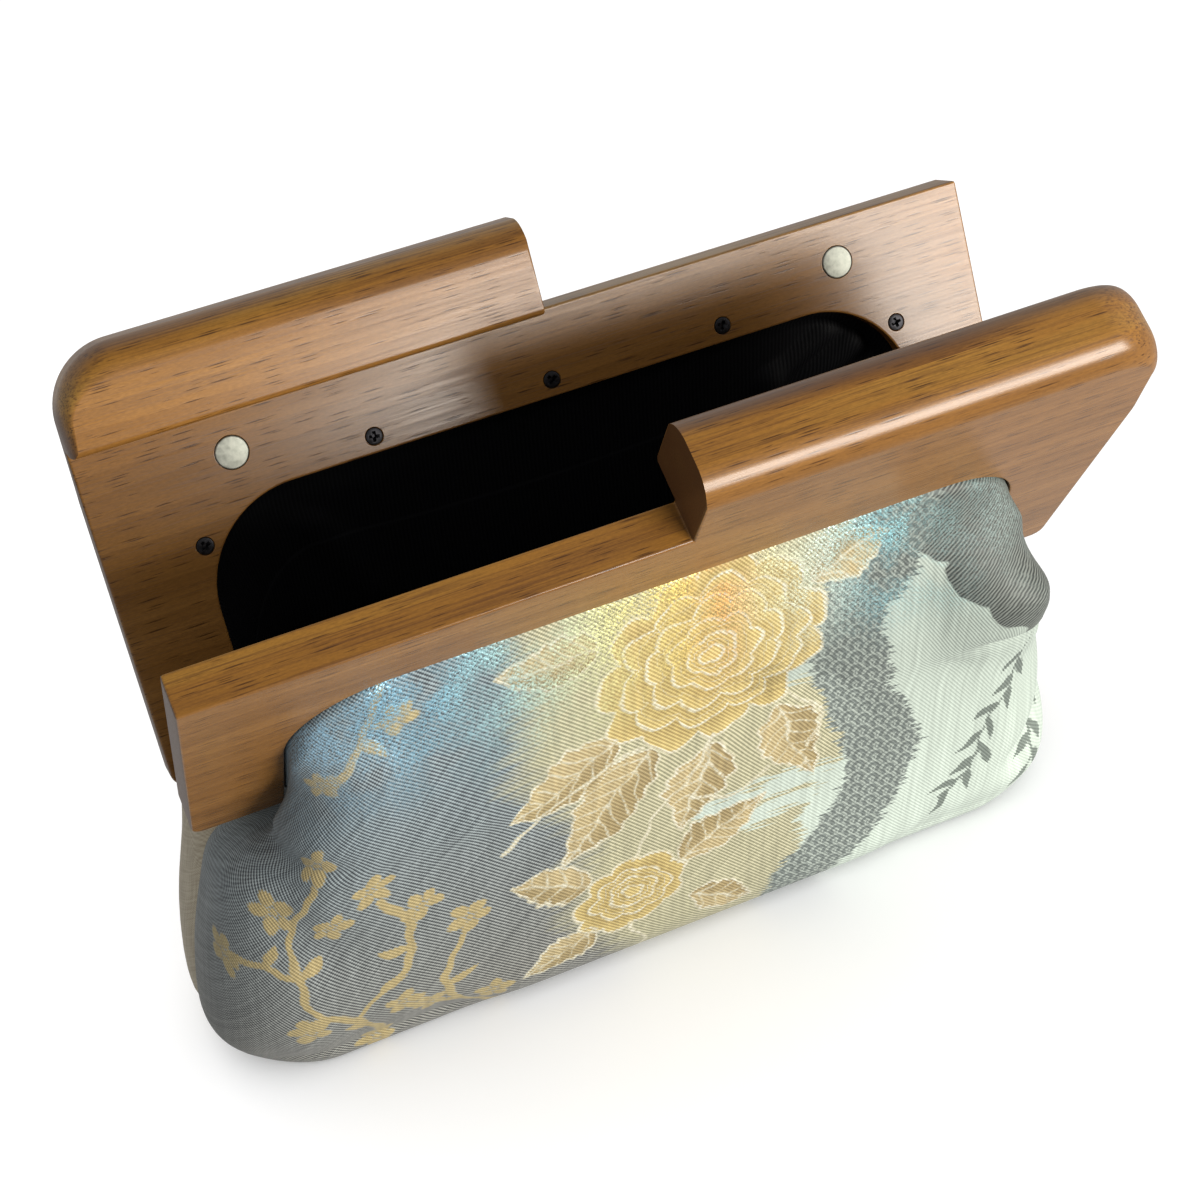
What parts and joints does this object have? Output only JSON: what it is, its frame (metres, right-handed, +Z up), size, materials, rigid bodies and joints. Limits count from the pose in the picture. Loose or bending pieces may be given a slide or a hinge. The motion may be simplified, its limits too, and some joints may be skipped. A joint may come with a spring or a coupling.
{
  "type": "clutch bag",
  "caption": "Open clutch bag: a lined cloth pouch, figured front and plain back, hung from two hinged wooden arch frames with interlocking grip rails and magnets.",
  "frame": {"origin": "on the floor under the middle of the pouch", "axes": "+Z up, +X along the frame to the right as seen from the front, -Y towards the figured front"},
  "size_m": [0.296, 0.1374, 0.2261],
  "materials": {
    "lacquered_wood": "stained, semi-gloss lacquer",
    "figured_cloth": "ribbed figured weave with metallic threads",
    "beige_cloth": "plain weave",
    "black_lining": "fine black rib",
    "nickel": "nickel plate",
    "black_steel": "black oxide",
    "hinge_brass": "plain"
  },
  "bodies": {
    "root": {"front_frame": "lacquered_wood", "back_frame": "lacquered_wood", "front_panel": "figured_cloth", "back_panel": "beige_cloth", "lining": "black_lining", "front_magnet_left": "nickel", "front_magnet_right": "nickel", "back_magnet_left": "nickel", "back_magnet_right": "nickel", "front_screw_1": "black_steel", "front_screw_2": "black_steel", "front_screw_3": "black_steel", "front_screw_4": "black_steel", "front_screw_5": "black_steel", "back_screw_1": "black_steel", "back_screw_2": "black_steel", "back_screw_3": "black_steel", "back_screw_4": "black_steel", "back_screw_5": "black_steel", "left_hinge": "hinge_brass", "right_hinge": "hinge_brass"}
  },
  "joints": []
}
